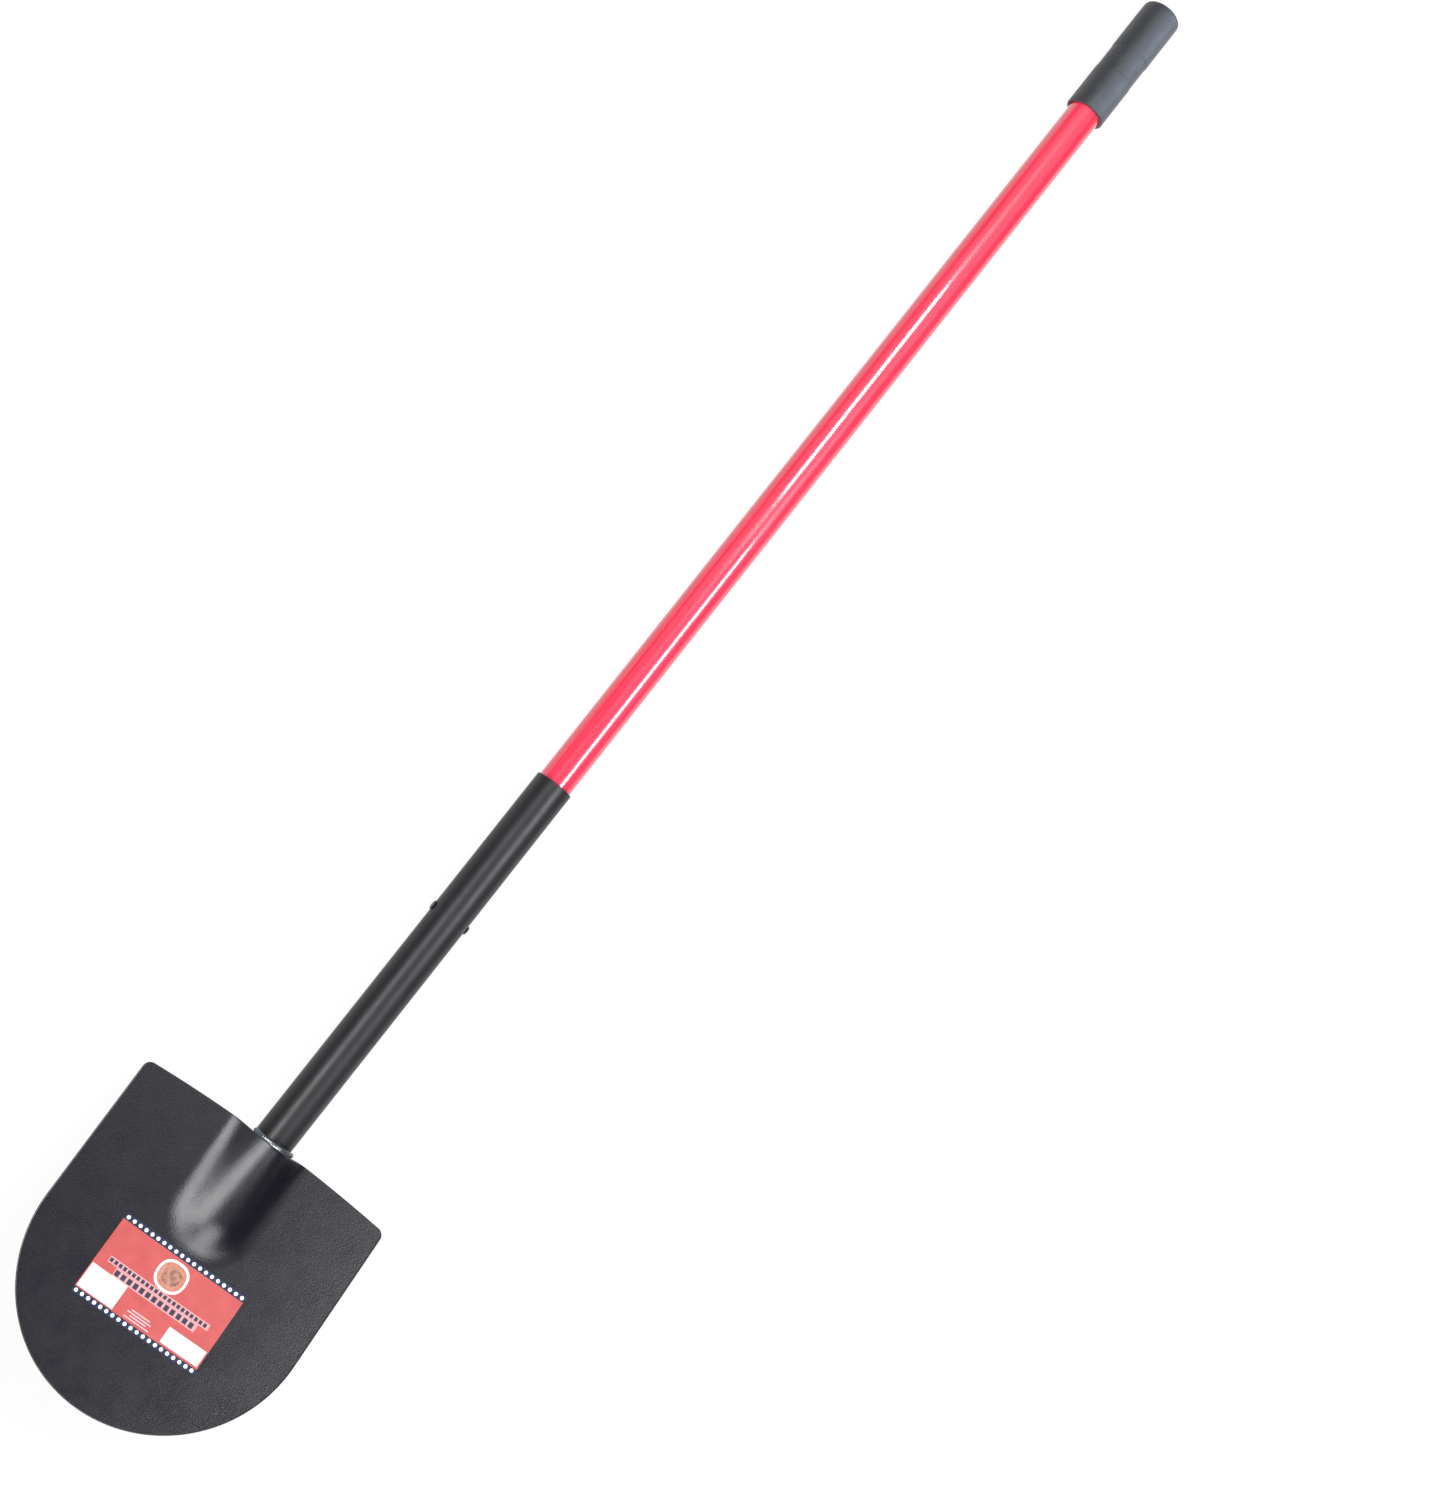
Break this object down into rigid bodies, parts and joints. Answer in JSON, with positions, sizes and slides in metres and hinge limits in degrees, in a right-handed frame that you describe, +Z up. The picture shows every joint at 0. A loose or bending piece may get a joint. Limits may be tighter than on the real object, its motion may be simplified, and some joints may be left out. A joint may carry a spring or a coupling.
{
  "type": "round point shovel",
  "caption": "Long-handled round point shovel: black pressed steel blade with a welded socket tube, riveted red fibreglass handle and a rubber end grip",
  "frame": {"origin": "centre of the bottom of the bounding box, the shovel lying face up", "axes": "+X runs along the handle from the blade's tip to the grip, +Z points up out of the blade's face, +Y is across the blade, to the left of someone looking down with the grip away from them"},
  "size_m": [1.4738, 0.2386, 0.0686],
  "materials": {
    "blade_paint": "satin black",
    "tube_paint": "satin black",
    "weld_paint": "satin black over a weld bead",
    "red_fibreglass": "glossy red pultruded fibreglass",
    "inner_fibreglass": "bare fibreglass",
    "core_wood": "bare wood",
    "rivet_paint": "satin black",
    "grip_rubber": "matte black rubber",
    "label_print": "printed label with a satin coat"
  },
  "bodies": {
    "root": {"blade": "blade_paint", "socket_tube": "tube_paint", "front_weld": "weld_paint", "rear_weld_left": "weld_paint", "rear_weld_right": "weld_paint", "handle_outer_tube": "red_fibreglass", "handle_inner_tube": "inner_fibreglass", "handle_core": "core_wood", "cross_rivet": "rivet_paint", "end_grip": "grip_rubber", "blade_label": "label_print"}
  },
  "joints": []
}
